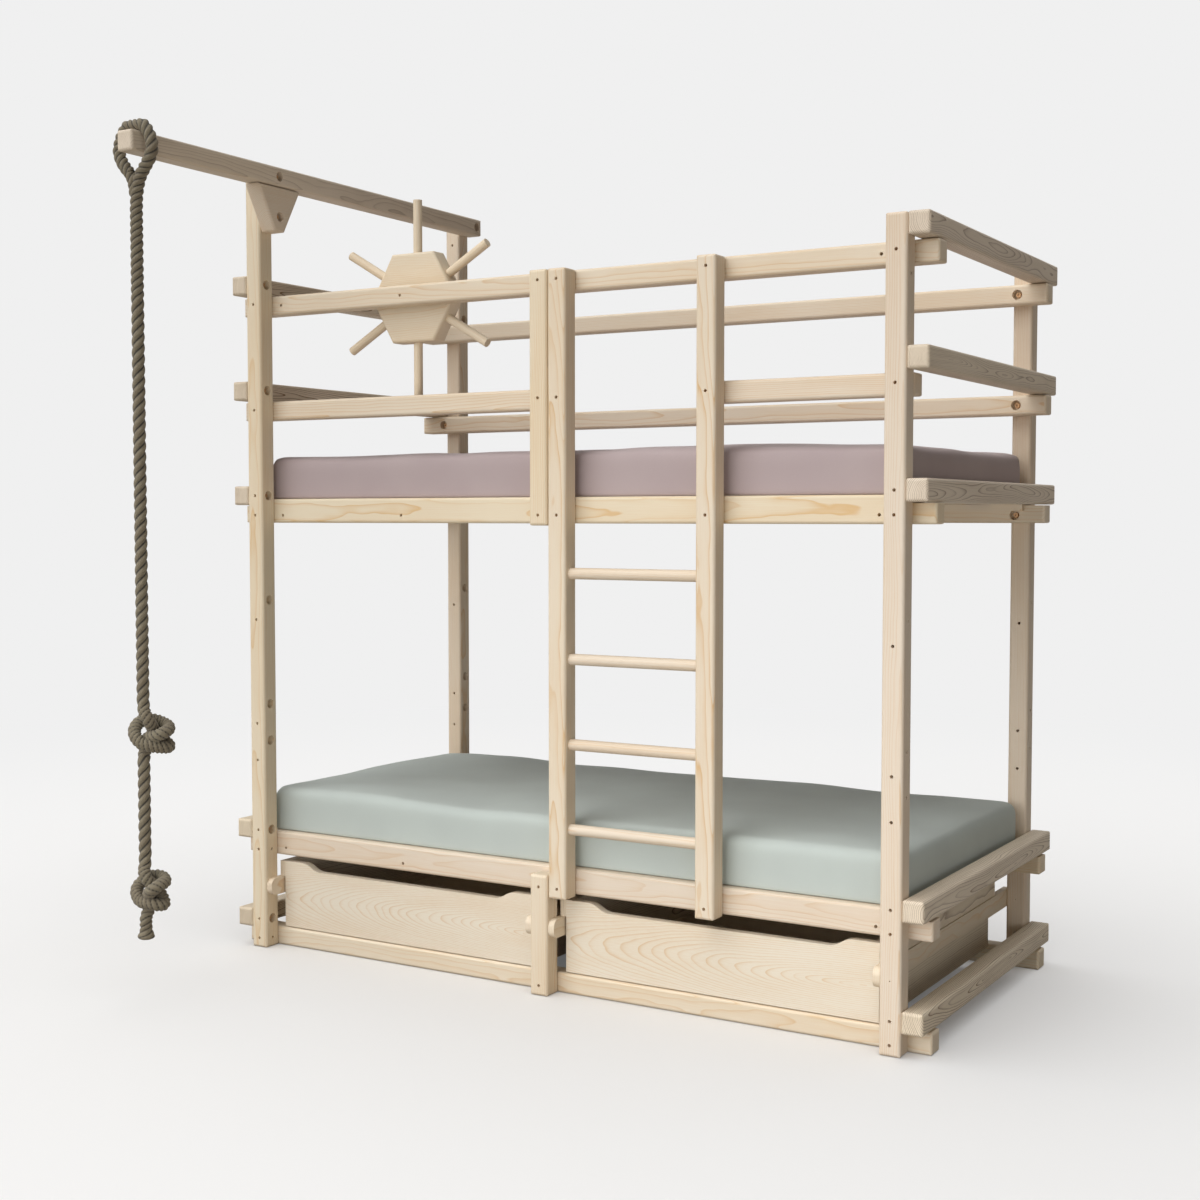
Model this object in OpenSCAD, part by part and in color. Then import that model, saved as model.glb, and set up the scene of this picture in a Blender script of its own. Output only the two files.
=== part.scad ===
// Bunk bed of square bolted timber with ladder, drawers, play wheel and climbing rope.
// Millimetres, +Z up, +X along the bed to the right, +Y to the back.
// The origin is on the floor, in the middle of the frame's box.

/* [Timber] */
// Width and depth of the square beams
beam = 55; // [48:1:62]
// Rounding along the edges of the beams and at their ends
beam_round = 8; // [4:0.5:12]
// Gap left where one beam passes over another
joint_gap = 2.5; // [1:0.5:5]
// How far the long rails run past the posts
rail_overhang = 58; // [50:1:90]
// Height of the deep side rails under the slats
side_rail_depth = 70; // [64:1:90]
// Height of the side rails' bolts over their lower edge
side_rail_bolt_up = 22; // [20:1:26]

/* [Mattresses] */
// Length of a mattress
mattress_length = 2000; // [1800:10:2200]
// Width of a mattress
mattress_width = 900; // [800:10:1000]
// Height of a mattress at its edge
mattress_height = 128; // [90:1:170]
// Extra height at the middle of a mattress
mattress_crown = 8; // [2:1:20]
// Corner rounding of a mattress seen from above
mattress_corner = 22; // [15:1:60]
// Rounding between the top and the sides of a mattress
mattress_edge = 30; // [15:1:40]
// How far the sides draw in between the corners
mattress_draw = 5; // [0:1:10]
// Space between a mattress and the outer faces of the posts at each end
mattress_end_gap = 12.5; // [8:0.5:30]
// Space between a mattress and the posts along each side
mattress_side_gap = 15; // [8:0.5:30]

/* [Levels] */
// Rise from the floor rails to the lower side rails
lower_rise = 265; // [250:1:320]
// Height of the upper side rails' bolts over the floor
upper_level = 1277.5; // [1200:0.5:1400]
// Step from one guard rail to the next
guard_pitch = 306; // [280:1:340]
// Rise of the gallows beam over the top guard rails
gallows_rise = 363.5; // [340:0.5:450]

/* [Slats] */
// Number of slats under each mattress
slat_count = 14; // [10:1:18]
// Width of a slat
slat_width = 80; // [60:1:100]
// Thickness of a slat
slat_thick = 18; // [14:1:24]
// Width of the ledgers that carry the slats
ledger_width = 20; // [16:1:40]
// Height of the ledgers that carry the slats
ledger_height = 18; // [14:1:20]

/* [Ladder] */
// Clear width between the ladder's uprights
ladder_clear = 380; // [320:5:450]
// Diameter of a rung
rung_d = 30; // [25:1:38]
// Number of rungs
rung_count = 4; // [3:1:4]
// Height of the lowest rung
rung_first = 450; // [430:5:480]
// Step from rung to rung
rung_pitch = 225; // [200:5:235]
// How deep a rung sits in each upright
rung_seat = 25; // [15:1:35]

/* [Bolts] */
// Diameter of the frame bolts
bolt_d = 8; // [6:1:10]
// Play of a bolt in its hole, on the diameter
bolt_play = 0.6; // [0.4:0.1:1]
// Diameter of the recess around a bolt's head
recess_d = 28; // [26:1:32]
// Depth of the recess around a bolt's head
recess_depth = 22; // [18:1:26]
// Diameter of the washers
washer_d = 16; // [14:1:25]
// Thickness of the washers
washer_thick = 1.6; // [1.2:0.1:3]
// Diameter of a bolt's round head
head_d = 13; // [11:0.5:16]
// Height of a bolt's head
head_height = 8; // [5:0.5:10]
// Size of the hexagon socket in a bolt's head across its flats
socket_flats = 6; // [4:0.5:8]
// Depth of the hexagon socket
socket_depth = 4.5; // [3:0.5:7]
// Wood left between a bolt's end and the far face
bolt_end_cover = 12; // [8:1:16]
// Depth of the spare holes that don't go through
blind_depth = 15; // [8:1:18]
// Diameter of the small holes for the drawers' stop pins
pin_hole_d = 3.5; // [2:0.5:6]

/* [Drawers] */
// Play between a drawer and the posts at each side
drawer_play = 4; // [2:0.5:8]
// Thickness of a drawer's front
drawer_front_thick = 24; // [18:1:28]
// Thickness of a drawer's sides and back
drawer_wall = 18; // [14:1:20]
// Thickness of a drawer's bottom
drawer_floor = 8; // [5:1:12]
// Depth of a drawer from front to back
drawer_depth = 832; // [700:1:850]
// Height of a drawer's front
drawer_height = 194; // [180:1:210]
// Space between a drawer and the floor rails
drawer_lift = 3; // [2:0.5:6]
// Distance of a drawer's front behind the faces of the posts
drawer_setback = 60; // [58:1:80]
// Height of the battens that a drawer hangs on
batten_height = 44.7; // [35:0.1:50]
// Depth of the grooves that hold a drawer's bottom
groove_depth = 6; // [4:1:8]
// Space under a drawer's bottom
groove_up = 10; // [8:1:20]
// Height of the runners
runner_height = 50; // [35:1:60]
// Distance of a runner's nose behind the faces of the posts
runner_setback = 5; // [3:1:15]
// Drop of the finger scoop in a drawer's front
scoop_drop = 22; // [15:1:30]
// Straight top edge beside the scoop
scoop_shoulder = 65; // [40:5:120]
// Length of the scoop's slope
scoop_run = 70; // [50:5:100]

/* [Play wheel] */
// Size of the wheel's hub across its flats
hub_flats = 250; // [200:5:280]
// Radius at the tips of the spokes
wheel_radius = 275; // [230:5:285]
// Diameter of a spoke
spoke_d = 25; // [20:1:30]
// How deep a spoke sits in the hub
spoke_seat = 40; // [25:1:50]
// Distance of the wheel's axle from the left posts' outer faces
wheel_place = 520; // [480:5:600]
// Running play of the hub around its axle, on the radius
axle_play = 0.1; // [0.05:0.01:0.2]

/* [Gallows] */
// How far the gallows beam reaches out in front of the posts
gallows_reach = 540; // [540:5:700]
// Half width of the bracket at its top
bracket_half = 90; // [70:1:110]
// Half width of the bracket at its bottom
bracket_foot = 20; // [18:1:40]
// Rounding of the bracket's lower corners
bracket_round = 14; // [8:1:16]
// Height of the bracket
bracket_height = 128; // [110:1:150]
// Height of the bracket's bolt over its lower edge
bracket_bolt_up = 43; // [35:1:55]

/* [Rope] */
// Diameter of the climbing rope
rope_d = 32; // [32:1:33]

/* [Hidden] */

pine = [0.87, 0.79, 0.67];
steel = [0.45, 0.45, 0.46];
mauve = [0.66, 0.58, 0.60];
sage = [0.66, 0.70, 0.66];
hemp = [0.42, 0.38, 0.30];

step = beam + joint_gap;
half = beam / 2;
seat_gap = 0.3;
cut_over = 1;

// Outer faces of the posts, and the middle of the frame's box
outer_length = mattress_length + 2 * mattress_end_gap;
outer_width = mattress_width + 2 * mattress_side_gap + 2 * beam;
origin_x = outer_length / 2;
origin_y = (outer_width - gallows_reach) / 2;

// Middle lines of the upright timbers, measured from the left posts' outer faces
post_left_x = half;
post_right_x = outer_length - half;
foot_post_x = outer_length / 2;
short_upright_x = foot_post_x;
ladder_left_x = short_upright_x + step;
ladder_right_x = ladder_left_x + ladder_clear + beam;
front_y = half;
rear_y = outer_width - half;
spare_in = half + step;

// Heights of the bolt lines of the long rails
floor_z = half;
lower_z = floor_z + lower_rise;
upper_z = upper_level;
mid_z = upper_z + guard_pitch;
top_z = mid_z + guard_pitch;
gallows_z = top_z + gallows_rise;
spare_low_z = lower_z + lower_rise;
spare_mid_z = upper_z - 2 * guard_pitch;
spare_high_z = upper_z - guard_pitch;
spare_top_z = top_z + guard_pitch;
pin_z = lower_z - 2 * half - step + joint_gap / 2;
right_side_hole_z = top_z - beam;

// The end beams lie one step above the long rails
end_levels = [floor_z + step, lower_z + step, upper_z + step, mid_z + step, top_z + step];
spare_recess_levels = [spare_low_z + step, spare_mid_z + step, spare_high_z + step];

// Tops and bottoms
post_right_top = top_z + step + half;
post_left_top = gallows_z + half;
ladder_bottom = lower_z - half;
ladder_top = top_z + half;
rest_of = side_rail_depth - side_rail_bolt_up;
lower_rest = lower_z + rest_of;
upper_rest = upper_z + rest_of;
foot_post_top = lower_z + half + 2 * joint_gap;

hole_d = bolt_d + bolt_play;
long_rail = outer_length + 2 * rail_overhang;
rail_front_y = beam + half;
rail_rear_y = outer_width - beam - half;
end_left_x = -half;
end_right_x = outer_length + half;
bolt_reach = beam - bolt_end_cover;

// Drawers and their runners, between the posts and the foot posts
drawer_bottom_z = beam + drawer_lift;
drawer_top_z = drawer_bottom_z + drawer_height;
batten_bottom_z = drawer_top_z - batten_height;
runner_top_z = batten_bottom_z - seat_gap;
runner_width = drawer_wall;
runner_length = outer_width - 2 * runner_setback;
drawer_left_bay = [beam, foot_post_x - half];
drawer_right_bay = [foot_post_x + half, outer_length - beam];
floor_play = 0.3;

// Play wheel
hub_front_y = 2 * beam + joint_gap;
hub_middle_y = hub_front_y + half;
hub_apothem = hub_flats / 2;
spoke_play = 0.1;

// Gallows and bracket
gallows_x = beam + half;
bracket_top_z = gallows_z - half - joint_gap;
bracket_bolt_z = bracket_top_z - bracket_height + bracket_bolt_up;

// Rope: the eye lies round the gallows beam and the fall hangs below it. The points are
// [across, away, up] from the rope's place; a knot's are from its own middle.
rope_place = [-930, -750];
eye_points = [[-18, 0, 2172], [-34, 0, 2188], [-50, 0, 2208], [-60, 0, 2234], [-55, 0, 2260],
    [-45, 0, 2279], [-35, 0, 2291], [-27, 0, 2297], [-14, 0, 2297], [0, 0, 2297], [14, 0, 2297],
    [27, 0, 2297], [35, 0, 2291], [45, 0, 2279], [55, 0, 2260], [60, 0, 2234], [50, 0, 2208],
    [34, 0, 2188], [18, 0, 2168], [8, 0, 2144], [2, 0, 2116], [0, 0, 2080]];
tail_points = [[-18, 0, 2172], [-8, 0, 2152], [-4, 0, 2132], [-2, 0, 2118]];
knot_points = [[0, 0, 96], [0, 0, 68], [4, -4, 42], [14, 4, 24], [28, 18, 10], [44, 22, -8],
    [54, 10, -26], [46, -10, -40], [22, -24, -42], [-4, -26, -32], [-22, -16, -14], [-28, 2, 10],
    [-20, 18, 30], [-2, 30, 44], [26, 28, 46], [50, 18, 38], [64, 0, 26], [60, -16, 14],
    [42, -22, 2], [24, -14, -8], [10, 2, -18], [0, 10, -34], [-2, 6, -56], [0, 0, -76]];
// Each knot's height and its turn about the rope
knots = [[696, 46], [271, 16]];
rope_end_z = 140;
rope_sides = 10;

// Helper shapes

// Puts a piece that is measured from the left posts' outer faces into the part's frame
module in_frame() {
    translate([-origin_x, -origin_y, 0]) children();
}

module rounded_rect(w, h, r) {
    square([w - 2 * r, h], center = true);
    square([w, h - 2 * r], center = true);
    for (sx = [-1, 1], sy = [-1, 1])
        translate([sx * (w / 2 - r), sy * (h / 2 - r)])
            circle(r = r, $fn = 32);
}

// A centred block with every edge rounded
module rounded_block(size, r) {
    intersection() {
        linear_extrude(size.z, center = true) rounded_rect(size.x, size.y, r);
        rotate([90, 0, 0]) linear_extrude(size.y, center = true) rounded_rect(size.x, size.z, r);
        rotate([90, 0, 90]) linear_extrude(size.x, center = true) rounded_rect(size.y, size.z, r);
    }
}

// A beam upright on the point [x, y] from z0 to z1
module upright(x, y, z0, z1) {
    translate([x, y, (z0 + z1) / 2])
        rounded_block([beam, beam, z1 - z0], beam_round);
}

// A beam along X from x0 to x1 with its middle line at [y, z]
module long_beam(x0, x1, y, z) {
    translate([(x0 + x1) / 2, y, z])
        rounded_block([x1 - x0, beam, beam], beam_round);
}

// Bores start at the given point and run along the given direction of X or Y
module bore(start, dir, length, d) {
    translate(start - cut_over * dir)
        rotate(dir.x != 0 ? [0, 90 * dir.x, 0] : [-90 * dir.y, 0, 0])
            cylinder(d = d, h = length + cut_over, $fn = 32);
}

module bolt_hole(start, dir, length) {
    bore(start, dir, length, hole_d);
}

// A through hole with a recess for the head at its start
module recessed_hole(start, dir, length) {
    bore(start, dir, length, hole_d);
    bore(start, dir, recess_depth, recess_d);
}

// A bolt along +Z with its washer under the head; the washer's lower face is at z = 0
module washer_bolt(length) {
    difference() {
        translate([0, 0, -washer_thick]) cylinder(d = washer_d, h = washer_thick, $fn = 24);
        translate([0, 0, -washer_thick - cut_over])
            cylinder(d = hole_d, h = washer_thick + 2 * cut_over, $fn = 24);
    }
    translate([0, 0, -washer_thick]) cylinder(d = bolt_d, h = length + washer_thick, $fn = 24);
    translate([0, 0, -washer_thick - head_height])
        difference() {
            cylinder(d = head_d, h = head_height, $fn = 24);
            translate([0, 0, -cut_over])
                cylinder(d = socket_flats / cos(30), h = socket_depth + cut_over, $fn = 6);
        }
}

// A bolt seated in a recess that starts at the given point
module seated_bolt(start, dir, length) {
    translate(start + recess_depth * dir)
        rotate(dir.x != 0 ? [0, 90 * dir.x, 0] : [-90 * dir.y, 0, 0])
            washer_bolt(length);
}

// Where bolts go

post_bolt_levels = [floor_z, lower_z, upper_z, mid_z, top_z];
short_bolt_levels = [upper_z, mid_z, top_z];
ladder_left_levels = [lower_z, upper_z, top_z];
ladder_right_levels = [lower_z, upper_z, mid_z, top_z];
foot_levels = [floor_z, lower_z];
// Each entry is a middle line and the heights of its bolts
front_bolts = [[post_left_x, post_bolt_levels], [post_right_x, post_bolt_levels],
    [foot_post_x, foot_levels], [short_upright_x, short_bolt_levels],
    [ladder_left_x, ladder_left_levels], [ladder_right_x, ladder_right_levels]];
rear_bolts = [[post_left_x, post_bolt_levels], [post_right_x, post_bolt_levels],
    [foot_post_x, foot_levels]];
cross_bolt_length = 2 * beam - recess_depth - bolt_end_cover;

// Holes of a long rail at height z for the uprights that are bolted there
module rail_holes_front(z) {
    for (line = front_bolts, level = line[1])
        if (level == z)
            recessed_hole([line[0], 2 * beam, z], [0, -1, 0], beam + cut_over);
}

module rail_holes_rear(z) {
    for (line = rear_bolts, level = line[1])
        if (level == z)
            recessed_hole([line[0], outer_width - 2 * beam, z], [0, 1, 0], beam + cut_over);
}

module spare_rail_holes(z, places) {
    for (x = places)
        bolt_hole([x, beam, z], [0, 1, 0], beam + cut_over);
}

rail_spares = [spare_in, wheel_place, outer_length - spare_in];

// Posts

// face is -1 on the front posts and 1 on the rear posts; inner is the direction of X to the bed
module corner_post(x, y, face, inner, top, through, blind) {
    outer_y = y + face * half;
    inner_x = x + inner * half;
    difference() {
        upright(x, y, 0, top);
        for (z = through)
            bolt_hole([x, outer_y, z], [0, -face, 0], beam + cut_over);
        for (z = blind)
            bolt_hole([x, outer_y, z], [0, -face, 0], blind_depth);
        for (z = concat(end_levels, spare_recess_levels))
            recessed_hole([inner_x, y, z], [-inner, 0, 0], beam + cut_over);
        for (z = [floor_z, lower_z])
            bolt_hole([inner_x, y, z], [-inner, 0, 0], blind_depth);
        if (inner > 0)
            bolt_hole([inner_x, y, gallows_z], [-1, 0, 0], bolt_reach + cut_over);
    }
}

through_levels = [floor_z, lower_z, spare_low_z, spare_mid_z, spare_high_z, upper_z, mid_z, top_z];
crossing_blind = [floor_z + step, lower_z + step, upper_z + step];

module post_front_left() {
    color(pine)
        in_frame()
            difference() {
                corner_post(post_left_x, front_y, -1, 1, post_left_top, through_levels, crossing_blind);
                bolt_hole([beam, front_y, bracket_bolt_z], [-1, 0, 0], bolt_reach + cut_over);
            }
}

module post_front_right() {
    color(pine)
        in_frame()
            difference() {
                corner_post(post_right_x, front_y, -1, -1, post_right_top, through_levels, crossing_blind);
                bore([post_right_x, 0, pin_z], [0, 1, 0], blind_depth, pin_hole_d);
                bolt_hole([outer_length, front_y, right_side_hole_z], [-1, 0, 0], blind_depth);
            }
}

module post_rear_left() {
    color(pine)
        in_frame()
            corner_post(post_left_x, rear_y, 1, 1, post_left_top, concat(through_levels, [spare_top_z]),
                crossing_blind);
}

module post_rear_right() {
    color(pine)
        in_frame()
            difference() {
                corner_post(post_right_x, rear_y, 1, -1, post_right_top, through_levels, crossing_blind);
                bore([post_right_x, outer_width - beam, pin_z], [0, 1, 0], blind_depth, pin_hole_d);
                bolt_hole([post_right_x, outer_width - beam, floor_z + step], [0, 1, 0], blind_depth);
            }
}

module foot_post(y, face) {
    color(pine)
        in_frame()
            difference() {
                upright(foot_post_x, y, 0, foot_post_top);
                for (z = foot_levels)
                    bolt_hole([foot_post_x, y + face * half, z], [0, -face, 0], beam + cut_over);
            }
}

module foot_post_front() {
    foot_post(front_y, -1);
}

module foot_post_rear() {
    foot_post(rear_y, 1);
}

// End beams

module end_beam(x, inner_x, away, level) {
    color(pine)
        in_frame()
            difference() {
                translate([x, outer_width / 2, end_levels[level]])
                    rounded_block([beam, outer_width, beam], beam_round);
                for (y = [front_y, rear_y])
                    bolt_hole([inner_x, y, end_levels[level]], [away, 0, 0], bolt_reach + cut_over);
            }
}

module end_beam_left(level) {
    end_beam(end_left_x, 0, -1, level);
}

module end_beam_right(level) {
    end_beam(end_right_x, outer_length, 1, level);
}

// Long rails

module rail_front(z, spares) {
    color(pine)
        in_frame()
            difference() {
                long_beam(-rail_overhang, outer_length + rail_overhang, rail_front_y, z);
                rail_holes_front(z);
                spare_rail_holes(z, spares);
            }
}

module rail_rear(z) {
    color(pine)
        in_frame()
            difference() {
                long_beam(-rail_overhang, outer_length + rail_overhang, rail_rear_y, z);
                rail_holes_rear(z);
            }
}

module floor_rail_front() {
    rail_front(floor_z, []);
}

module floor_rail_rear() {
    rail_rear(floor_z);
}

module guard_rail_top_front() {
    rail_front(top_z, rail_spares);
}

module guard_rail_top_rear() {
    rail_rear(top_z);
}

module guard_rail_mid_rear() {
    rail_rear(mid_z);
}

module guard_rail_mid_left() {
    color(pine)
        in_frame()
            difference() {
                long_beam(-rail_overhang, short_upright_x + half, rail_front_y, mid_z);
                rail_holes_front(mid_z);
            }
}

module guard_rail_mid_right() {
    color(pine)
        in_frame()
            difference() {
                long_beam(ladder_right_x - half, outer_length, rail_front_y, mid_z);
                rail_holes_front(mid_z);
            }
}

// A deep side rail, cut down to the beam's height where it passes under the end beams
module side_rail_blank(y, z) {
    difference() {
        translate([outer_length / 2, y, z - side_rail_bolt_up + side_rail_depth / 2])
            rounded_block([long_rail, beam, side_rail_depth], beam_round);
        for (x = [-rail_overhang - cut_over, outer_length - joint_gap])
            translate([x, y - half - cut_over, z + half])
                cube([rail_overhang + joint_gap + cut_over, beam + 2 * cut_over, side_rail_depth]);
    }
}

module side_rail_front(z) {
    color(pine)
        in_frame()
            difference() {
                side_rail_blank(rail_front_y, z);
                rail_holes_front(z);
                spare_rail_holes(z, rail_spares);
            }
}

module side_rail_rear(z) {
    color(pine)
        in_frame()
            difference() {
                side_rail_blank(rail_rear_y, z);
                rail_holes_rear(z);
            }
}

module side_rail_lower_front() {
    side_rail_front(lower_z);
}

module side_rail_lower_rear() {
    side_rail_rear(lower_z);
}

module side_rail_upper_front() {
    side_rail_front(upper_z);
}

module side_rail_upper_rear() {
    side_rail_rear(upper_z);
}

// Ladder

module rung_places() {
    for (i = [0 : rung_count - 1])
        translate([0, front_y, rung_first + i * rung_pitch]) children();
}

module ladder_upright(x, inner, levels, bottom) {
    color(pine)
        in_frame()
            difference() {
                upright(x, front_y, bottom, ladder_top);
                for (z = levels)
                    bolt_hole([x, 0, z], [0, 1, 0], beam + cut_over);
                if (inner != 0)
                    rung_places()
                        bore([x + inner * half, 0, 0], [-inner, 0, 0], rung_seat, rung_d + seat_gap);
            }
}

module ladder_upright_left() {
    ladder_upright(ladder_left_x, 1, concat(ladder_left_levels, [mid_z]), ladder_bottom);
}

module ladder_upright_right() {
    ladder_upright(ladder_right_x, -1, ladder_right_levels, ladder_bottom);
}

module ladder_short_upright() {
    ladder_upright(short_upright_x, 0, short_bolt_levels, upper_z - half);
}

module ladder_rungs() {
    rung_length = ladder_clear + 2 * rung_seat - 2 * seat_gap;
    color(pine)
        in_frame()
            rung_places()
                translate([ladder_left_x + half - rung_seat + seat_gap, 0, 0])
                    rotate([0, 90, 0])
                        cylinder(d = rung_d, h = rung_length, $fn = 32);
}

// Gallows

module gallows_beam() {
    color(pine)
        in_frame()
            difference() {
                translate([gallows_x, (outer_width - gallows_reach) / 2, gallows_z])
                    rounded_block([beam, outer_width + gallows_reach, beam], beam_round);
                for (y = [front_y, rear_y])
                    recessed_hole([2 * beam, y, gallows_z], [-1, 0, 0], beam + cut_over);
            }
}

// A bar whose face goes through the point [y, z] with its outward normal turned by angle
module bracket_side(y, z, angle) {
    reach = 2 * (bracket_half + bracket_height);
    translate([0, y, z])
        rotate([angle, 0, 0])
            translate([0, 0, -reach / 2])
                rotate([90, 0, 0])
                    linear_extrude(2 * reach, center = true)
                        rounded_rect(beam, reach, beam_round);
}

// Outline of the bracket with its two lower corners rounded; it only trims those corners
module bracket_outline(slope) {
    r = bracket_round + seat_gap;
    arc_steps = 8;
    corner = [bracket_foot - bracket_round * tan(45 - slope / 2), bracket_round - bracket_height];
    arc = [for (i = [0 : arc_steps]) let (a = -90 + (90 - slope) * i / arc_steps)
        corner + r * [cos(a), sin(a)]];
    top = arc[arc_steps] + bracket_height / cos(slope) * [sin(slope), cos(slope)];
    right = concat(arc, [top]);
    polygon(concat(right, [for (i = [len(right) - 1 : -1 : 0]) [-right[i].x, right[i].y]]));
}

module gallows_bracket() {
    slope = atan2(bracket_half - bracket_foot, bracket_height);
    color(pine)
        in_frame()
            difference() {
                translate([gallows_x, front_y, bracket_top_z])
                    intersection() {
                        bracket_side(0, 0, 0);
                        bracket_side(0, -bracket_height, 180);
                        bracket_side(bracket_half, 0, -90 - slope);
                        bracket_side(-bracket_half, 0, 90 + slope);
                        rotate([90, 0, 90])
                            linear_extrude(2 * beam, center = true) bracket_outline(slope);
                        translate([0, 0, -bracket_height / 2])
                            cube([beam, 2 * (bracket_half - beam_round / 2), bracket_height + beam],
                                center = true);
                    }
                recessed_hole([2 * beam, front_y, bracket_bolt_z], [-1, 0, 0], beam + cut_over);
            }
}

// Slats and mattresses

module slat_ledgers(rest_z) {
    ledger_z = rest_z - slat_thick - ledger_height;
    color(pine)
        in_frame()
            for (y = [2 * beam, outer_width - 2 * beam - ledger_width])
                translate([0, y, ledger_z])
                    cube([outer_length, ledger_width, ledger_height]);
}

module slat_ledgers_upper() {
    slat_ledgers(upper_rest);
}

module slat_ledgers_lower() {
    slat_ledgers(lower_rest);
}

module slats(rest_z) {
    pitch = (outer_length - slat_width - 2 * mattress_end_gap) / (slat_count - 1);
    slat_length = outer_width - 4 * beam - 2 * seat_gap;
    color(pine)
        in_frame()
            for (i = [0 : slat_count - 1])
                translate([mattress_end_gap + i * pitch, 2 * beam + seat_gap, rest_z - slat_thick])
                    cube([slat_width, slat_length, slat_thick]);
}

module slats_upper() {
    slats(upper_rest);
}

module slats_lower() {
    slats(lower_rest);
}

// Mattress form: rings of points from the bottom to the crown. A ring is a rounded
// rectangle whose long and short sides bow inward by draw.
corner_points = 6;
side_points = 5;
bottom_edge = 5;
edge_rings = 5;
top_insets = [60, 110, 180, 270, 370];

function corner_arc(cx, cy, r, from) =
    [for (i = [0 : corner_points]) let (a = from + 90 * i / corner_points)
        [cx + r * cos(a), cy + r * sin(a)]];

function side_run(p, q, normal, draw) =
    [for (i = [1 : side_points]) let (t = i / (side_points + 1))
        p + t * (q - p) - normal * draw * sin(180 * t)];

function mattress_ring(inset, z, draw) =
    let (
        a = mattress_length / 2 - inset,
        b = mattress_width / 2 - inset,
        r = max(mattress_corner - inset, 10),
        outline = concat(
            corner_arc(a - r, b - r, r, 0), side_run([a - r, b], [r - a, b], [0, 1], draw),
            corner_arc(r - a, b - r, r, 90), side_run([-a, b - r], [-a, r - b], [-1, 0], draw),
            corner_arc(r - a, r - b, r, 180), side_run([r - a, -b], [a - r, -b], [0, -1], draw),
            corner_arc(a - r, r - b, r, 270), side_run([a, r - b], [a, b - r], [1, 0], draw)))
    [for (p = outline) [p.x, p.y, z]];

function mattress_rings() =
    let (
        h = mattress_height,
        e = mattress_edge,
        bottom = [for (i = [0 : 3]) let (t = 90 * i / 3)
            mattress_ring(bottom_edge * (1 - sin(t)), bottom_edge * (1 - cos(t)), 0)],
        sides = [mattress_ring(0, h * 0.35, mattress_draw), mattress_ring(0, h - e, mattress_draw)],
        edge = [for (i = [1 : edge_rings]) let (t = 90 * i / edge_rings)
            mattress_ring(e * (1 - cos(t)), h - e + e * sin(t), mattress_draw * cos(t))],
        top = [for (inset = top_insets) let (t = min(1, inset / top_insets[len(top_insets) - 1]))
            mattress_ring(inset, h + mattress_crown * sin(90 * t), 0)])
    concat(bottom, sides, edge, top);

function middle_of(ring) = [for (p = ring) 1] * ring / len(ring);

// Skins a stack of rings and closes both ends with a fan around the end's middle
module ring_stack(rings) {
    n = len(rings[0]);
    m = len(rings);
    points = concat([for (ring = rings, p = ring) p], [middle_of(rings[0]), middle_of(rings[m - 1])]);
    walls = [for (k = [0 : m - 2], i = [0 : n - 1])
        let (a = k * n + i, b = k * n + (i + 1) % n)
        each [[a, b + n, b], [a, a + n, b + n]]];
    base = [for (i = [0 : n - 1]) [m * n, i, (i + 1) % n]];
    cap = [for (i = [0 : n - 1]) let (o = (m - 1) * n) [m * n + 1, o + (i + 1) % n, o + i]];
    polyhedron(points, concat(walls, base, cap));
}

module mattress(rest_z) {
    in_frame()
        translate([outer_length / 2, outer_width / 2, rest_z + seat_gap])
            ring_stack(mattress_rings());
}

module mattress_upper() {
    color(mauve) mattress(upper_rest);
}

module mattress_lower() {
    color(sage) mattress(lower_rest);
}

// Drawers. bay holds the faces of the posts to the left and right of the drawer.

module drawer_runners(bay) {
    color(pine)
        in_frame()
            for (x = [bay[0] + runner_width / 2, bay[1] - runner_width / 2])
                translate([x, outer_width / 2, runner_top_z - runner_height / 2])
                    rotate([90, 0, 90])
                        linear_extrude(runner_width, center = true)
                            rounded_rect(runner_length, runner_height, runner_height / 2.5);
}

module drawer_runners_left() {
    drawer_runners(drawer_left_bay);
}

module drawer_runners_right() {
    drawer_runners(drawer_right_bay);
}

// Faces of the drawer's box inside its battens
function box_left(bay) = bay[0] + drawer_play + drawer_wall;
function box_right(bay) = bay[1] - drawer_play - drawer_wall;

// Two arcs that meet make each slope of the scoop
scoop_angle = 2 * atan(scoop_drop / scoop_run);
scoop_radius = scoop_run / (2 * sin(scoop_angle));
scoop_steps = 8;

function slope_points() = concat(
    [for (i = [0 : scoop_steps]) let (a = scoop_angle * i / scoop_steps)
        [scoop_radius * sin(a), -scoop_radius * (1 - cos(a))]],
    [for (i = [scoop_steps - 1 : -1 : 0]) let (a = scoop_angle * i / scoop_steps)
        [scoop_run - scoop_radius * sin(a), -scoop_drop + scoop_radius * (1 - cos(a))]]);

// Outline of a drawer's front with its lower left corner at the origin
function front_outline(width) =
    let (slope = slope_points(), n = len(slope))
    concat(
        [[0, 0], [0, drawer_height]],
        [for (p = slope) [scoop_shoulder + p.x, drawer_height + p.y]],
        [for (i = [n - 1 : -1 : 0]) [width - scoop_shoulder - slope[i].x, drawer_height + slope[i].y]],
        [[width, drawer_height], [width, 0]]);

// The groove ring that the bottom panel sits in
module bottom_groove(bay) {
    translate([box_left(bay) + drawer_wall - groove_depth,
            drawer_setback + drawer_front_thick - groove_depth, drawer_bottom_z + groove_up])
        cube([box_right(bay) - box_left(bay) - 2 * drawer_wall + 2 * groove_depth,
            drawer_depth - drawer_front_thick - drawer_wall + 2 * groove_depth,
            drawer_floor + floor_play]);
}

module drawer_front(bay) {
    width = box_right(bay) - box_left(bay);
    color(pine)
        in_frame()
            difference() {
                translate([box_left(bay), drawer_setback + drawer_front_thick, drawer_bottom_z])
                    rotate([90, 0, 0])
                        linear_extrude(drawer_front_thick)
                            polygon(front_outline(width));
                bottom_groove(bay);
            }
}

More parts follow.
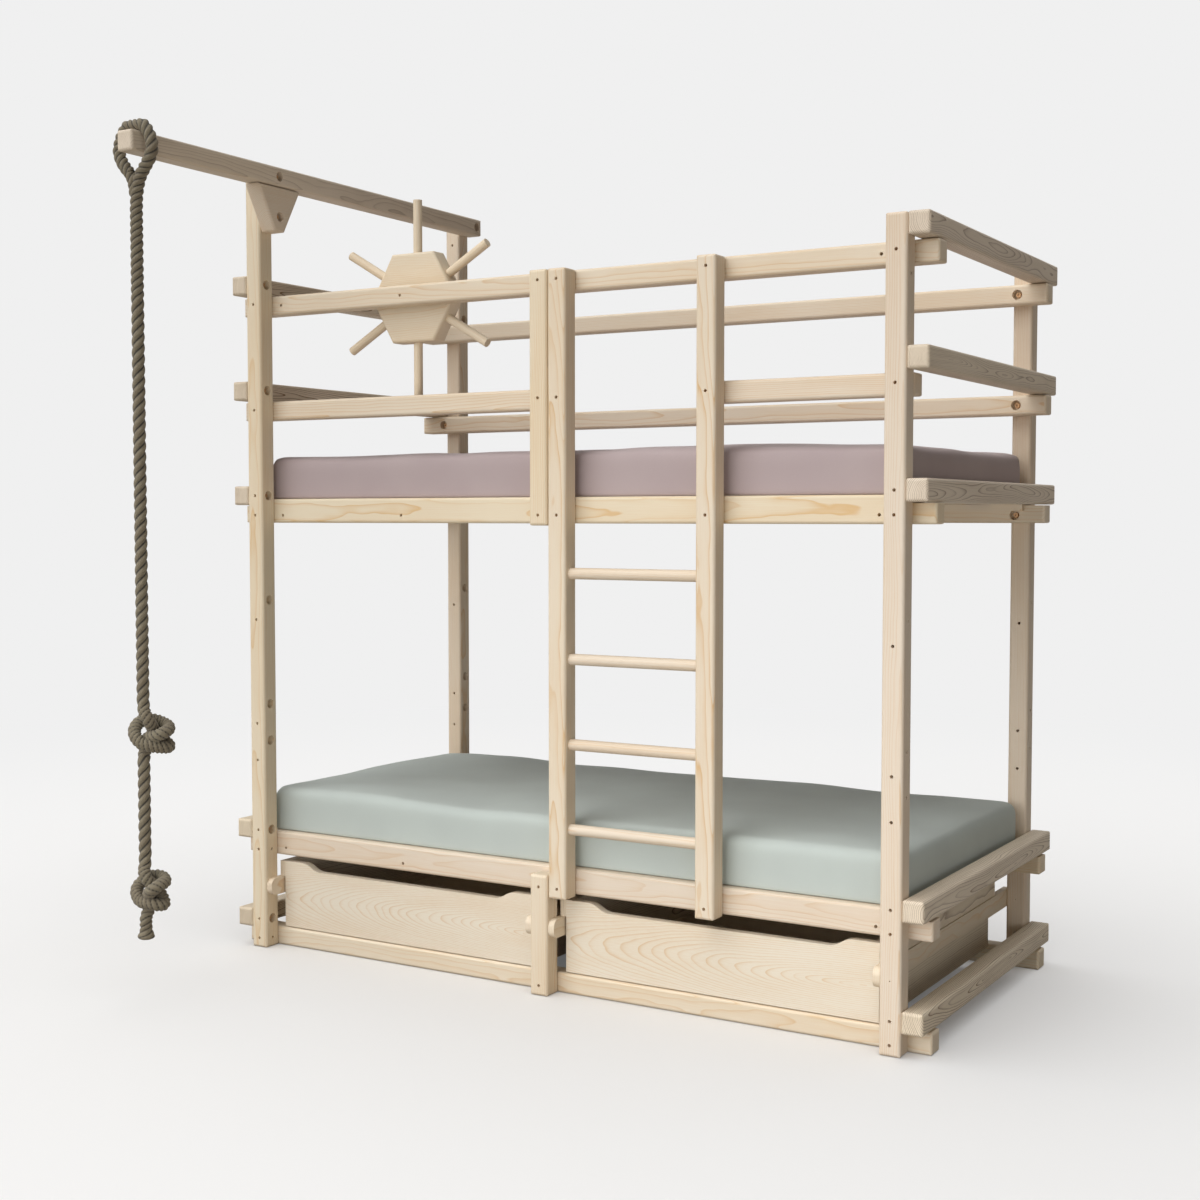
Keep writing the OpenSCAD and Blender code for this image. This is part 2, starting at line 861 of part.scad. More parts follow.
module drawer_side(bay, x) {
    color(pine)
        in_frame()
            difference() {
                translate([x, drawer_setback + drawer_front_thick, drawer_bottom_z])
                    cube([drawer_wall, drawer_depth - drawer_front_thick, drawer_height]);
                bottom_groove(bay);
            }
}

module drawer_back(bay) {
    color(pine)
        in_frame()
            difference() {
                translate([box_left(bay) + drawer_wall, drawer_setback + drawer_depth - drawer_wall,
                        drawer_bottom_z])
                    cube([box_right(bay) - box_left(bay) - 2 * drawer_wall, drawer_wall, drawer_height]);
                bottom_groove(bay);
            }
}

module drawer_bottom(bay) {
    color(pine)
        in_frame()
            translate([box_left(bay) + drawer_wall - groove_depth + floor_play,
                    drawer_setback + drawer_front_thick - groove_depth + floor_play,
                    drawer_bottom_z + groove_up])
                cube([box_right(bay) - box_left(bay) - 2 * (drawer_wall - groove_depth + floor_play),
                    drawer_depth - drawer_front_thick - drawer_wall + 2 * (groove_depth - floor_play),
                    drawer_floor]);
}

module drawer_battens(bay) {
    color(pine)
        in_frame()
            for (x = [box_left(bay) - drawer_wall, box_right(bay)])
                translate([x, drawer_setback, batten_bottom_z])
                    cube([drawer_wall, drawer_depth, batten_height]);
}

module drawer_left_front() {
    drawer_front(drawer_left_bay);
}

module drawer_left_side_left() {
    drawer_side(drawer_left_bay, box_left(drawer_left_bay));
}

module drawer_left_side_right() {
    drawer_side(drawer_left_bay, box_right(drawer_left_bay) - drawer_wall);
}

module drawer_left_back() {
    drawer_back(drawer_left_bay);
}

module drawer_left_bottom() {
    drawer_bottom(drawer_left_bay);
}

module drawer_left_battens() {
    drawer_battens(drawer_left_bay);
}

module drawer_right_front() {
    drawer_front(drawer_right_bay);
}

module drawer_right_side_left() {
    drawer_side(drawer_right_bay, box_left(drawer_right_bay));
}

module drawer_right_side_right() {
    drawer_side(drawer_right_bay, box_right(drawer_right_bay) - drawer_wall);
}

module drawer_right_back() {
    drawer_back(drawer_right_bay);
}

module drawer_right_bottom() {
    drawer_bottom(drawer_right_bay);
}

module drawer_right_battens() {
    drawer_battens(drawer_right_bay);
}

// Play wheel, on an axle bolt through the top guard rail

module at_wheel() {
    in_frame()
        translate([wheel_place, hub_middle_y, top_z]) children();
}

module spoke_places() {
    for (i = [0 : 5])
        rotate([0, 60 * i, 0]) children();
}

// The hub's outline with its six corners rounded
module rounded_hexagon() {
    corner = (hub_apothem - beam_round) / cos(30);
    for (i = [0 : 5]) {
        rotate(60 * i + 30) translate([0, -corner / 2]) square([hub_apothem, corner]);
        rotate(60 * i) translate([corner, 0]) circle(r = beam_round, $fn = 48);
    }
}

module wheel_hub() {
    color(pine)
        at_wheel()
            difference() {
                intersection() {
                    intersection_for (i = [0 : 2])
                        rotate([0, 60 * i, 0])
                            rotate([90, 0, 90])
                                linear_extrude(2 * hub_flats, center = true)
                                    rounded_rect(beam, hub_flats, beam_round);
                    rotate([90, 0, 0])
                        linear_extrude(2 * beam, center = true) rounded_hexagon();
                }
                spoke_places()
                    translate([0, 0, hub_apothem - spoke_seat])
                        cylinder(d = spoke_d + 2 * spoke_play, h = spoke_seat + cut_over, $fn = 32);
                translate([0, -half - cut_over, 0])
                    rotate([-90, 0, 0])
                        cylinder(d = bolt_d + 2 * axle_play, h = beam + 2 * cut_over, $fn = 32);
                translate([0, half - recess_depth, 0])
                    rotate([-90, 0, 0])
                        cylinder(d = recess_d, h = recess_depth + cut_over, $fn = 32);
            }
}

module wheel_spokes() {
    foot = hub_apothem - spoke_seat + seat_gap;
    color(pine)
        at_wheel()
            spoke_places()
                translate([0, 0, foot])
                    cylinder(d = spoke_d, h = wheel_radius - foot, $fn = 32);
}

// The head lies in the hub's recess and the shank ends inside the rail
module wheel_axle_bolt() {
    head_seat = recess_depth - seat_gap;
    shank = beam - recess_depth + joint_gap + beam - bolt_end_cover + seat_gap;
    color(steel)
        at_wheel()
            translate([0, half - head_seat, 0])
                rotate([90, 0, 0]) washer_bolt(shank);
}

module wheel_spacer_washer() {
    color(steel)
        at_wheel()
            translate([0, -half - seat_gap, 0])
                rotate([90, 0, 0])
                    difference() {
                        cylinder(d = washer_d, h = joint_gap - seat_gap, $fn = 32);
                        translate([0, 0, -cut_over])
                            cylinder(d = hole_d, h = joint_gap + 2 * cut_over, $fn = 32);
                    }
}

// Bolts of the frame

module bolts_across() {
    color(steel)
        in_frame() {
            for (line = front_bolts, level = line[1])
                seated_bolt([line[0], 2 * beam, level], [0, -1, 0], cross_bolt_length);
            for (line = rear_bolts, level = line[1])
                seated_bolt([line[0], outer_width - 2 * beam, level], [0, 1, 0], cross_bolt_length);
        }
}

module bolts_along() {
    color(steel)
        in_frame() {
            for (y = [front_y, rear_y], z = end_levels) {
                seated_bolt([beam, y, z], [-1, 0, 0], cross_bolt_length);
                seated_bolt([outer_length - beam, y, z], [1, 0, 0], cross_bolt_length);
            }
            for (y = [front_y, rear_y])
                seated_bolt([2 * beam, y, gallows_z], [-1, 0, 0], cross_bolt_length);
            seated_bolt([2 * beam, front_y, bracket_bolt_z], [-1, 0, 0], cross_bolt_length);
        }
}

// Climbing rope: a tube swept along its points with frames carried from ring to ring

function unit(v) = v / norm(v);
function tangent(path, i) =
    unit(path[min(i + 1, len(path) - 1)] - path[max(i - 1, 0)]);
function carry(side, along) = unit(side - (side * along) * along);
function sides_along(path) =
    [for (i = 0, u = carry([0, 1, 0], tangent(path, 0)); i < len(path);
        i = i + 1, u = i < len(path) ? carry(u, tangent(path, i)) : u) u];

module rope_tube(path) {
    sides = sides_along(path);
    ring_stack([for (i = [0 : len(path) - 1])
        let (t = tangent(path, i), u = sides[i], v = cross(t, u))
        [for (k = [0 : rope_sides - 1]) let (a = 360 * k / rope_sides)
            path[i] + rope_d / 2 * (cos(a) * u + sin(a) * v)]]);
}

function rope_point(p) = [rope_place.x + p.x, rope_place.y + p.y, p.z];
function knot_point(p, z, turn) =
    [rope_place.x + p.x * cos(turn) - p.y * sin(turn),
        rope_place.y + p.x * sin(turn) + p.y * cos(turn), z + p.z];
rope_path = concat(
    [for (p = eye_points) rope_point(p)],
    [for (knot = knots, p = knot_points) knot_point(p, knot[0], knot[1])],
    [rope_point([0, 0, rope_end_z])]);

// Least distance between points of a knot that don't follow each other along the rope
knot_gap = min([for (i = [0 : len(knot_points) - 5], j = [i + 4 : len(knot_points) - 1])
    norm(knot_points[i] - knot_points[j])]) - rope_d;
echo(knot_gap = knot_gap);

module climbing_rope() {
    color(hemp) {
        rope_tube(rope_path);
        rope_tube([for (p = tail_points) rope_point(p)]);
    }
}

post_front_left();
post_front_right();
post_rear_left();
post_rear_right();
foot_post_front();
foot_post_rear();
end_beam_left(0);  // end_beam_left_floor
end_beam_left(1);  // end_beam_left_lower
end_beam_left(2);  // end_beam_left_upper
end_beam_left(3);  // end_beam_left_guard
end_beam_left(4);  // end_beam_left_top
end_beam_right(0);  // end_beam_right_floor
end_beam_right(1);  // end_beam_right_lower
end_beam_right(2);  // end_beam_right_upper
end_beam_right(3);  // end_beam_right_guard
end_beam_right(4);  // end_beam_right_top
floor_rail_front();
floor_rail_rear();
side_rail_lower_front();
side_rail_lower_rear();
side_rail_upper_front();
side_rail_upper_rear();
guard_rail_top_front();
guard_rail_mid_left();
guard_rail_mid_right();
guard_rail_top_rear();
guard_rail_mid_rear();
ladder_upright_left();
ladder_upright_right();
ladder_short_upright();
ladder_rungs();
gallows_beam();
gallows_bracket();
slat_ledgers_upper();
slat_ledgers_lower();
slats_upper();
slats_lower();
mattress_upper();
mattress_lower();
drawer_runners_left();
drawer_runners_right();
drawer_left_front();
drawer_left_side_left();
drawer_left_side_right();
drawer_left_back();
drawer_left_bottom();
drawer_left_battens();
drawer_right_front();
drawer_right_side_left();
drawer_right_side_right();
drawer_right_back();
drawer_right_bottom();
drawer_right_battens();
wheel_hub();
wheel_spokes();
wheel_axle_bolt();
wheel_spacer_washer();
bolts_across();
bolts_along();
climbing_rope();
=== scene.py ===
"""Bunk bed of bolted pine timber with ladder, drawers, play wheel and climbing rope.
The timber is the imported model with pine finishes; the rope and both mattresses are made here."""
import math
import random

import bmesh
import bpy
from mathutils import Matrix, Vector, noise


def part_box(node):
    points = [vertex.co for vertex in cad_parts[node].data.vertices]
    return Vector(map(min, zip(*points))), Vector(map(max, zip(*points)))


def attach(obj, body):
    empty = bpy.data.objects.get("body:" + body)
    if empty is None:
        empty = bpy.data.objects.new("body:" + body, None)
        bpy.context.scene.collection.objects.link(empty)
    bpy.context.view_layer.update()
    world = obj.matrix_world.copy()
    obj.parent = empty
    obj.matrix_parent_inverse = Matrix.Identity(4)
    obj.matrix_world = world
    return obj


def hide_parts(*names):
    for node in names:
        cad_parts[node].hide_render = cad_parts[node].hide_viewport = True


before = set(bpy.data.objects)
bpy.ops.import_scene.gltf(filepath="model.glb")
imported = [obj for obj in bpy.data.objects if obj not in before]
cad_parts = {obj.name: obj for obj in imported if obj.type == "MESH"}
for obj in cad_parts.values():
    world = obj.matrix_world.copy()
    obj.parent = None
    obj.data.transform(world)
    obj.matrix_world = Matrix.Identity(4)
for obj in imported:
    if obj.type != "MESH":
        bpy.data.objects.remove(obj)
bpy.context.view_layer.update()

SCENE = bpy.context.scene
MM = 0.001


def srgb(r, g, b):
    """A colour given in display values from 0 to 255, as the linear colour that sockets take."""
    def linear(v):
        v /= 255
        return v / 12.92 if v <= 0.04045 else ((v + 0.055) / 1.055) ** 2.4
    return (linear(r), linear(g), linear(b), 1)


def add_object(name, mesh):
    piece = bpy.data.objects.new(name, mesh)
    SCENE.collection.objects.link(piece)
    return piece


def use_only(piece, material):
    piece.data.materials.clear()
    piece.data.materials.append(material)


# Camera, solved from the perspective of the beams in the photograph

CAMERA_PLACE = (2.3943, -3.9310, 1.2729)
CAMERA_DOWN_DEG = 2.849
CAMERA_LEFT_DEG = 30.908
FOCAL_LENGTH = 50.13
SENSOR_WIDTH = 36


def make_camera():
    data = bpy.data.cameras.new("camera")
    data.sensor_fit = "HORIZONTAL"
    data.sensor_width = SENSOR_WIDTH
    data.lens = FOCAL_LENGTH
    camera = add_object("camera", data)
    camera.location = CAMERA_PLACE
    camera.rotation_euler = (math.radians(90 - CAMERA_DOWN_DEG), 0, math.radians(CAMERA_LEFT_DEG))
    SCENE.camera = camera


make_camera()


# Climbing rope. Points, heights and distances on its route are in millimetres.

ROPE_PLACE = (-930, -750)
EYE_POINTS = [
    (-18, 0, 2172), (-34, 0, 2188), (-50, 0, 2208), (-60, 0, 2234), (-55, 0, 2260),
    (-45, 0, 2279), (-35, 0, 2291), (-27, 0, 2297), (-14, 0, 2297), (0, 0, 2297),
    (14, 0, 2297), (27, 0, 2297), (35, 0, 2291), (45, 0, 2279), (55, 0, 2260),
    (60, 0, 2234), (50, 0, 2208), (34, 0, 2188), (18, 0, 2168), (8, 0, 2144),
    (2, 0, 2116), (0, 0, 2080)]
TAIL_POINTS = [(-18, 0, 2172), (-8, 0, 2152), (-4, 0, 2132), (-2, 0, 2118)]
UPPER_KNOT = [
    (0, 0, 96), (1, -4, 72), (4, -12, 56), (10, -16, 42), (17, -11, 28), (23, 3, 15), (29, 18, 2),
    (40, 28, -11), (54, 24, -25), (65, 8, -35), (62, -9, -38), (50, -18, -37), (34, -22, -35),
    (14, -23, -31), (-5, -19, -25), (-17, -12, -13), (-23, -3, 0), (-22, 7, 13), (-13, 18, 25),
    (0, 26, 32), (16, 31, 33), (34, 30, 30), (50, 23, 24), (63, 8, 17), (65, -10, 11), (57, -26, 6),
    (44, -32, 0), (29, -26, -6), (16, -11, -9), (8, 4, -18), (5, 12, -32), (4, 13, -46), (1, 8, -60),
    (0, 0, -76)]
LOWER_KNOT = [
    (0, 0, 96), (1, -4, 72), (4, -12, 56), (10, -16, 42), (17, -11, 28), (23, 1, 16), (27, 13, 3),
    (33, 20, -11), (42, 18, -24), (50, 8, -33), (50, -8, -33), (42, -18, -31), (31, -22, -29),
    (14, -23, -27), (-5, -19, -22), (-18, -12, -11), (-25, -3, 1), (-24, 7, 13), (-14, 18, 25),
    (0, 26, 33), (16, 31, 36), (31, 30, 34), (43, 22, 31), (53, 8, 26), (52, -10, 23), (46, -24, 18),
    (37, -30, 11), (27, -25, 3), (16, -11, -4), (8, 4, -16), (5, 12, -30), (4, 13, -45), (1, 8, -60),
    (0, 0, -76)]
UPPER_KNOT_Z, LOWER_KNOT_Z = 696, 271
# Each knot's points, its height and its turn about the rope
KNOTS = [(UPPER_KNOT, UPPER_KNOT_Z, math.radians(46)), (LOWER_KNOT, LOWER_KNOT_Z, math.radians(16))]
KNOT_SWELL = 0.03
# Distance from a knot's middle at which its swell ends, and the length over which it fades
KNOT_REACH, KNOT_FADE = 72, 20
ROPE_END_Z = 140

RING_STEP = 3.2 * MM
LONGEST_SPAN = 24 * MM
RING_SIDES = 36
STRANDS = 3
STRAND_OFFSET = 5.8 * MM
STRAND_RADIUS = 11.2 * MM
HALF_STRAND = math.pi / STRANDS

# The strands open out over the last stretch, and the end closes in a low dome. Its rings are given
# by their distance past the route's end and their share of the last ring's width.
END_FLARE = 21 * MM
END_RADIUS = 22.8 * MM
END_GROOVE = 0.86
END_DOME = ((3.0, 0.93), (5.2, 0.78), (6.6, 0.5), (7.2, 0.2))

# Length of one turn of the strands in metres, and the heights where one gives way to the next
EYE_LAY_LEFT, EYE_LAY_TOP, EYE_LAY_RIGHT = 0.054, 0.050, 0.064
SPLICE_LAY, UPPER_LAY, HANGING_LAY = 0.058, 0.066, 0.086
KNOT_LAY, LOWEST_LAY = 0.033, 0.043
EYE_Z, SPLICE_Z, UPPER_Z = 2180, 2000, 1850
EYE_LEFT_X, EYE_RIGHT_X = -30, 40


def rope_point(x, y, z):
    return Vector((ROPE_PLACE[0] + x, ROPE_PLACE[1] + y, z)) * MM


def knot_point(point, height, turn):
    x, y, z = point
    c, s = math.cos(turn), math.sin(turn)
    return rope_point(x * c - y * s, x * s + y * c, height + z)


def smooth_route(points, step):
    """Points an even step apart on a smooth curve through the given ones."""
    filled = [points[0]]
    for p, q in zip(points, points[1:]):
        cuts = max(1, round((q - p).length / LONGEST_SPAN))
        filled += [p.lerp(q, k / cuts) for k in range(1, cuts + 1)]
    dense = []
    for i in range(len(filled) - 1):
        a, b = filled[max(i - 1, 0)], filled[i]
        c, d = filled[i + 1], filled[min(i + 2, len(filled) - 1)]
        count = max(2, int((c - b).length / (step / 4)))
        for k in range(count):
            t = k / count
            dense.append(0.5 * ((2 * b) + (c - a) * t + (2 * a - 5 * b + 4 * c - d) * t * t
                                + (3 * b - a - 3 * c + d) * t ** 3))
    dense.append(filled[-1])
    route, left = [dense[0]], step
    for p, q in zip(dense, dense[1:]):
        span = (q - p).length
        done = 0
        while span - done >= left:
            done += left
            route.append(p.lerp(q, done / span))
            left = step
        left -= span - done
    if (route[-1] - dense[-1]).length > step / 2:
        route.append(dense[-1])
    else:
        route[-1] = dense[-1]
    return route


def strand_radius(angle):
    """Distance from the rope's middle to its surface, over three round strands."""
    a = (angle + HALF_STRAND) % (2 * HALF_STRAND) - HALF_STRAND
    return (STRAND_OFFSET * math.cos(a)
            + math.sqrt(STRAND_RADIUS ** 2 - (STRAND_OFFSET * math.sin(a)) ** 2))


GROOVE_RADIUS, CROWN_RADIUS = strand_radius(HALF_STRAND), strand_radius(0)


def crown_share(radius):
    """0 in the groove between two strands and 1 on a strand's crown."""
    return (radius - GROOVE_RADIUS) / (CROWN_RADIUS - GROOVE_RADIUS)


def knot_share(place):
    """1 in the middle of a knot and 0 on the plain rope."""
    away = min(abs(place.z / MM - height) for _, height, _ in KNOTS)
    return min(1, max(0, (KNOT_REACH - away) / KNOT_FADE))


def end_share(left):
    """1 at the rope's end and 0 on the plain rope, for the length that is left."""
    share = min(1, max(0, 1 - left / END_FLARE))
    return share * share * (3 - 2 * share)


def lay_at(place):
    """Length of one turn of the strands: short in the eye and the knots, long where the rope hangs."""
    z = place.z / MM
    if z > EYE_Z:
        across = place.x / MM - ROPE_PLACE[0]
        return EYE_LAY_LEFT if across < EYE_LEFT_X else EYE_LAY_RIGHT if across > EYE_RIGHT_X else EYE_LAY_TOP
    if z > SPLICE_Z:
        return SPLICE_LAY
    if z > UPPER_Z:
        return UPPER_LAY
    if knot_share(place) > 0.5:
        return KNOT_LAY
    return LOWEST_LAY if z < LOWER_KNOT_Z else HANGING_LAY


def rope_rings(route, flare, first_turn):
    """Rings of points with their angles on the twisted strands, each ring's place along the rope
    and the rope's length."""
    total = sum((q - p).length for p, q in zip(route, route[1:]))
    tangent = (route[1] - route[0]).normalized()
    side = tangent.cross(Vector((0, 1, 0))).normalized()
    rings, places = [], []
    twist, place = first_turn, 0
    for i, middle in enumerate(route):
        ahead, behind = route[min(i + 1, len(route) - 1)], route[max(i - 1, 0)]
        tangent = (ahead - behind).normalized()
        side = (side - side.dot(tangent) * tangent).normalized()
        other = tangent.cross(side)
        if i:
            place += (middle - behind).length
            twist += 2 * math.pi * (middle - behind).length / lay_at(middle)
        swell = end_share(total - place) if flare else 0
        ring = []
        for k in range(RING_SIDES):
            angle = 2 * math.pi * k / RING_SIDES
            r = strand_radius(angle - twist) * (1 + KNOT_SWELL * knot_share(middle))
            r += (END_RADIUS - r) * swell * (END_GROOVE + (1 - END_GROOVE) * crown_share(r))
            ring.append((middle + r * (math.cos(angle) * side + math.sin(angle) * other), angle - twist))
        rings.append(ring)
        places.append(place)
    if flare:
        for drop, part in END_DOME:
            rings.append([(middle.lerp(p, part) + tangent * drop * MM, a) for p, a in ring])
            places.append(place + drop * MM)
    return rings, places, total


def rope_mesh(name, rings, places):
    """A closed mesh over the rings, with UVs in strands and metres, and each point's crown share."""
    mesh = bpy.data.meshes.new(name)
    n = RING_SIDES
    verts = [p for ring in rings for p, _ in ring]
    faces = [(i * n + k, i * n + (k + 1) % n, (i + 1) * n + (k + 1) % n, (i + 1) * n + k)
             for i in range(len(rings) - 1) for k in range(n)]
    for i, turned in ((0, True), (len(rings) - 1, False)):
        verts.append(sum((p for p, _ in rings[i]), Vector()) / n)
        fan = [(len(verts) - 1, i * n + k, i * n + (k + 1) % n) for k in range(n)]
        faces += [face[::-1] for face in fan] if turned else fan
    mesh.from_pydata(verts, [], faces)

    uv = mesh.uv_layers.new(name="rope")
    crowns = mesh.attributes.new("crown", "FLOAT", "POINT")
    for i, ring in enumerate(rings):
        for k, (_, angle) in enumerate(ring):
            crowns.data[i * n + k].value = crown_share(strand_radius(angle))
    for poly in mesh.polygons:
        for loop in poly.loop_indices:
            v = mesh.loops[loop].vertex_index
            i, k = min(v // n, len(rings) - 1), v % n
            # The first point closes the last face of a ring one whole turn on
            closing = k == 0 and mesh.loops[poly.loop_start].vertex_index % n == n - 1
            turn = rings[i][k][1] + (2 * math.pi if closing else 0)
            uv.data[loop].uv = (turn * STRANDS / (2 * math.pi), places[i])
        poly.use_smooth = True
    mesh.update()
    return mesh


def laid_tube(name, route, flare=False, first_turn=0):
    """A three-strand rope along the route, and its length."""
    rings, places, total = rope_rings(route, flare, first_turn)
    return add_object(name, rope_mesh(name, rings, places)), total


def make_rope(material):
    points = [rope_point(*p) for p in EYE_POINTS]
    points += [knot_point(p, height, turn) for knot, height, turn in KNOTS for p in knot]
    dome_height = END_DOME[-1][0]
    points.append(rope_point(0, 0, ROPE_END_Z + dome_height))
    route = smooth_route(points, RING_STEP)
    rope, length = laid_tube("climbing_rope_laid", route, flare=True)
    # The tail runs on from the rope's start with its strands in line, half a strand round
    tail, _ = laid_tube("rope_splice_tail", smooth_route([rope_point(*p) for p in TAIL_POINTS], RING_STEP),
                        first_turn=HALF_STRAND)
    for piece in (rope, tail):
        use_only(piece, material)
        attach(piece, "frame")
    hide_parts("climbing_rope")
    print("rope length", round(length, 4), "rings", len(route))


# Node helpers

class Nodes:
    """Short calls for building one node tree."""

    def __init__(self, tree):
        self.tree = tree

    def add(self, kind, **settings):
        made = self.tree.nodes.new(kind)
        for key, value in settings.items():
            setattr(made, key, value)
        return made

    def put(self, socket, value):
        if isinstance(value, bpy.types.NodeSocket):
            self.tree.links.new(value, socket)
        elif value is not None:
            socket.default_value = value

    def math(self, operation, a, b=None, clamp=False):
        made = self.add("ShaderNodeMath", operation=operation, use_clamp=clamp)
        self.put(made.inputs[0], a)
        self.put(made.inputs[1], b)
        return made.outputs[0]

    def vector(self, operation, a, b=None):
        made = self.add("ShaderNodeVectorMath", operation=operation)
        self.put(made.inputs[0], a)
        self.put(made.inputs[1], b)
        return made.outputs["Value"] if operation == "LENGTH" else made.outputs[0]

    def noise(self, vector, scale, detail=2, roughness=0.5):
        made = self.add("ShaderNodeTexNoise")
        self.put(made.inputs["Vector"], vector)
        self.put(made.inputs["Scale"], scale)
        self.put(made.inputs["Detail"], detail)
        self.put(made.inputs["Roughness"], roughness)
        return made.outputs["Fac"], made.outputs["Color"]

    def ramp(self, value, low, high, to_low=0, to_high=1, smooth=True):
        made = self.add("ShaderNodeMapRange", interpolation_type="SMOOTHSTEP" if smooth else "LINEAR")
        for key, item in (("Value", value), ("From Min", low), ("From Max", high),
                          ("To Min", to_low), ("To Max", to_high)):
            self.put(made.inputs[key], item)
        return made.outputs[0]

    def mix(self, factor, a, b, blend="MIX"):
        made = self.add("ShaderNodeMix", data_type="RGBA", blend_type=blend)
        self.put(made.inputs[0], factor)
        self.put(made.inputs[6], a)
        self.put(made.inputs[7], b)
        return made.outputs[2]

    def scaled(self, vector, x, y, z):
        return self.vector("MULTIPLY", vector, (x, y, z))

    def parts(self, vector):
        made = self.add("ShaderNodeSeparateXYZ")
        self.put(made.inputs[0], vector)
        return made.outputs[0], made.outputs[1], made.outputs[2]

    def joined(self, x, y, z):
        made = self.add("ShaderNodeCombineXYZ")
        for socket, value in zip(made.inputs, (x, y, z)):
            self.put(socket, value)
        return made.outputs[0]

    def object_place(self):
        return self.add("ShaderNodeTexCoord").outputs["Object"]


def new_group(name, inputs, outputs):
    """An empty node group with named sockets; returns its helper, its input and its output sockets."""
    tree = bpy.data.node_groups.new(name, "ShaderNodeTree")
    for label, kind, default in inputs:
        socket = tree.interface.new_socket(label, in_out="INPUT", socket_type="NodeSocket" + kind)
        if default is not None:
            socket.default_value = default
    for label, kind in outputs:
        tree.interface.new_socket(label, in_out="OUTPUT", socket_type="NodeSocket" + kind)
    kit = Nodes(tree)
    return kit, kit.add("NodeGroupInput").outputs, kit.add("NodeGroupOutput").inputs


def new_material(name, roughness=0.6):
    """A material with a plain Principled shader; returns it with its helper and its shader."""
    material = bpy.data.materials.new(name)
    material.use_nodes = True
    kit = Nodes(material.node_tree)
    shader = material.node_tree.nodes["Principled BSDF"]
    shader.inputs["Roughness"].default_value = roughness
    return material, kit, shader


def bumped(kit, shader, height, strength, distance):
    bump = kit.add("ShaderNodeBump")
    bump.inputs["Strength"].default_value = strength
    bump.inputs["Distance"].default_value = distance
    kit.put(bump.inputs["Height"], height)
    kit.put(shader.inputs["Normal"], bump.outputs["Normal"])


HALF = (0.5, 0.5, 0.5)


# Pine. Scales are in cycles per metre, along the grain and then across it; sizes are in metres.

DRIFT_SCALE = (1.8, 4.5, 4.5)
RIPPLE_SCALE = (11, 34, 34)
RIPPLE_SIZE = (0, 0.0036, 0.0036)
FIBRE_SCALE = (9, 420, 420)
FLECK_SCALE = (30, 900, 900)
CLOUD_SCALE = (1.7, 9, 9)
# How much the rings' widths differ, over how many cycles per metre of their distance from the pith
RING_SPREAD, RING_SPREAD_SCALE = 1.6, 38
LATE_SHARPNESS = 5.5
PINE_BUMP = (0.35, 0.0005)
# Late wood that stands out, on the end beams and inside the drawers. On the end beams its dark tone is also
# painted shade, darkening their faces that turn from the light.
BOLD_LATE_AND_SHADE = srgb(120, 88, 50)


def make_pine_group():
    """Growth rings around a pith along X, with fibres. Takes metres, puts out colour and relief."""
    kit, given, out = new_group(
        "pine_grain",
        [("Vector", "Vector", None), ("Pitch", "Float", 0.006), ("Warp", "Float", 0.010),
         ("Early", "Color", srgb(228, 213, 189)), ("Late", "Color", srgb(210, 170, 110)),
         ("Contrast", "Float", 0.8)],
        [("Color", "Color"), ("Roughness", "Float"), ("Height", "Float")])
    place = given["Vector"]
    _, drift = kit.noise(kit.scaled(place, *DRIFT_SCALE), 1, detail=2, roughness=0.45)
    drift = kit.vector("SUBTRACT", drift, HALF)
    width = kit.math("MULTIPLY", given["Warp"], 4)
    drift = kit.vector("MULTIPLY", drift, kit.joined(0, width, width))
    _, ripple = kit.noise(kit.scaled(place, *RIPPLE_SCALE), 1, detail=1)
    ripple = kit.scaled(kit.vector("SUBTRACT", ripple, HALF), *RIPPLE_SIZE)
    bent = kit.vector("ADD", kit.vector("ADD", place, drift), ripple)

    distance = kit.vector("LENGTH", kit.scaled(bent, 0, 1, 1))
    rings = kit.math("DIVIDE", distance, given["Pitch"])
    spread, _ = kit.noise(kit.joined(0, kit.math("MULTIPLY", distance, RING_SPREAD_SCALE), 0), 1, detail=1)
    rings = kit.math("ADD", rings, kit.math("MULTIPLY", spread, RING_SPREAD))
    phase = kit.math("FRACT", rings)
    rise = kit.math("POWER", phase, LATE_SHARPNESS)
    fall = kit.ramp(phase, 0.93, 1.0, 1, 0)
    line = kit.math("MULTIPLY", rise, fall)
    weight = kit.add("ShaderNodeTexWhiteNoise", noise_dimensions="1D")
    kit.put(weight.inputs["W"], kit.math("FLOOR", rings))
    line = kit.math("MULTIPLY", line, kit.ramp(weight.outputs["Value"], 0, 1, 0.45, 1, smooth=False))

    fibre, _ = kit.noise(kit.scaled(place, *FIBRE_SCALE), 1, detail=3, roughness=0.6)
    fleck, _ = kit.noise(kit.scaled(place, *FLECK_SCALE), 1, detail=1)
    fleck = kit.ramp(fleck, 0.66, 0.78)
    cloud, _ = kit.noise(kit.scaled(place, *CLOUD_SCALE), 1, detail=2)
    shade = kit.math("MULTIPLY", line, given["Contrast"])
    shade = kit.math("ADD", shade, kit.ramp(fibre, 0.3, 0.75, -0.05, 0.11, smooth=False))
    shade = kit.math("ADD", shade, kit.ramp(cloud, 0.35, 0.7, -0.04, 0.12))
    shade = kit.math("ADD", shade, kit.math("MULTIPLY", fleck, 0.08), clamp=True)
    kit.put(out["Color"], kit.mix(shade, given["Early"], given["Late"]))
    kit.put(out["Roughness"], kit.ramp(line, 0, 1, 0.62, 0.50, smooth=False))
    relief = kit.math("ADD", kit.math("MULTIPLY", line, 0.7), kit.math("MULTIPLY", fibre, 0.3))
    kit.put(out["Height"], kit.math("SUBTRACT", relief, kit.math("MULTIPLY", fleck, 0.25)))
    return kit.tree


PINE = make_pine_group()


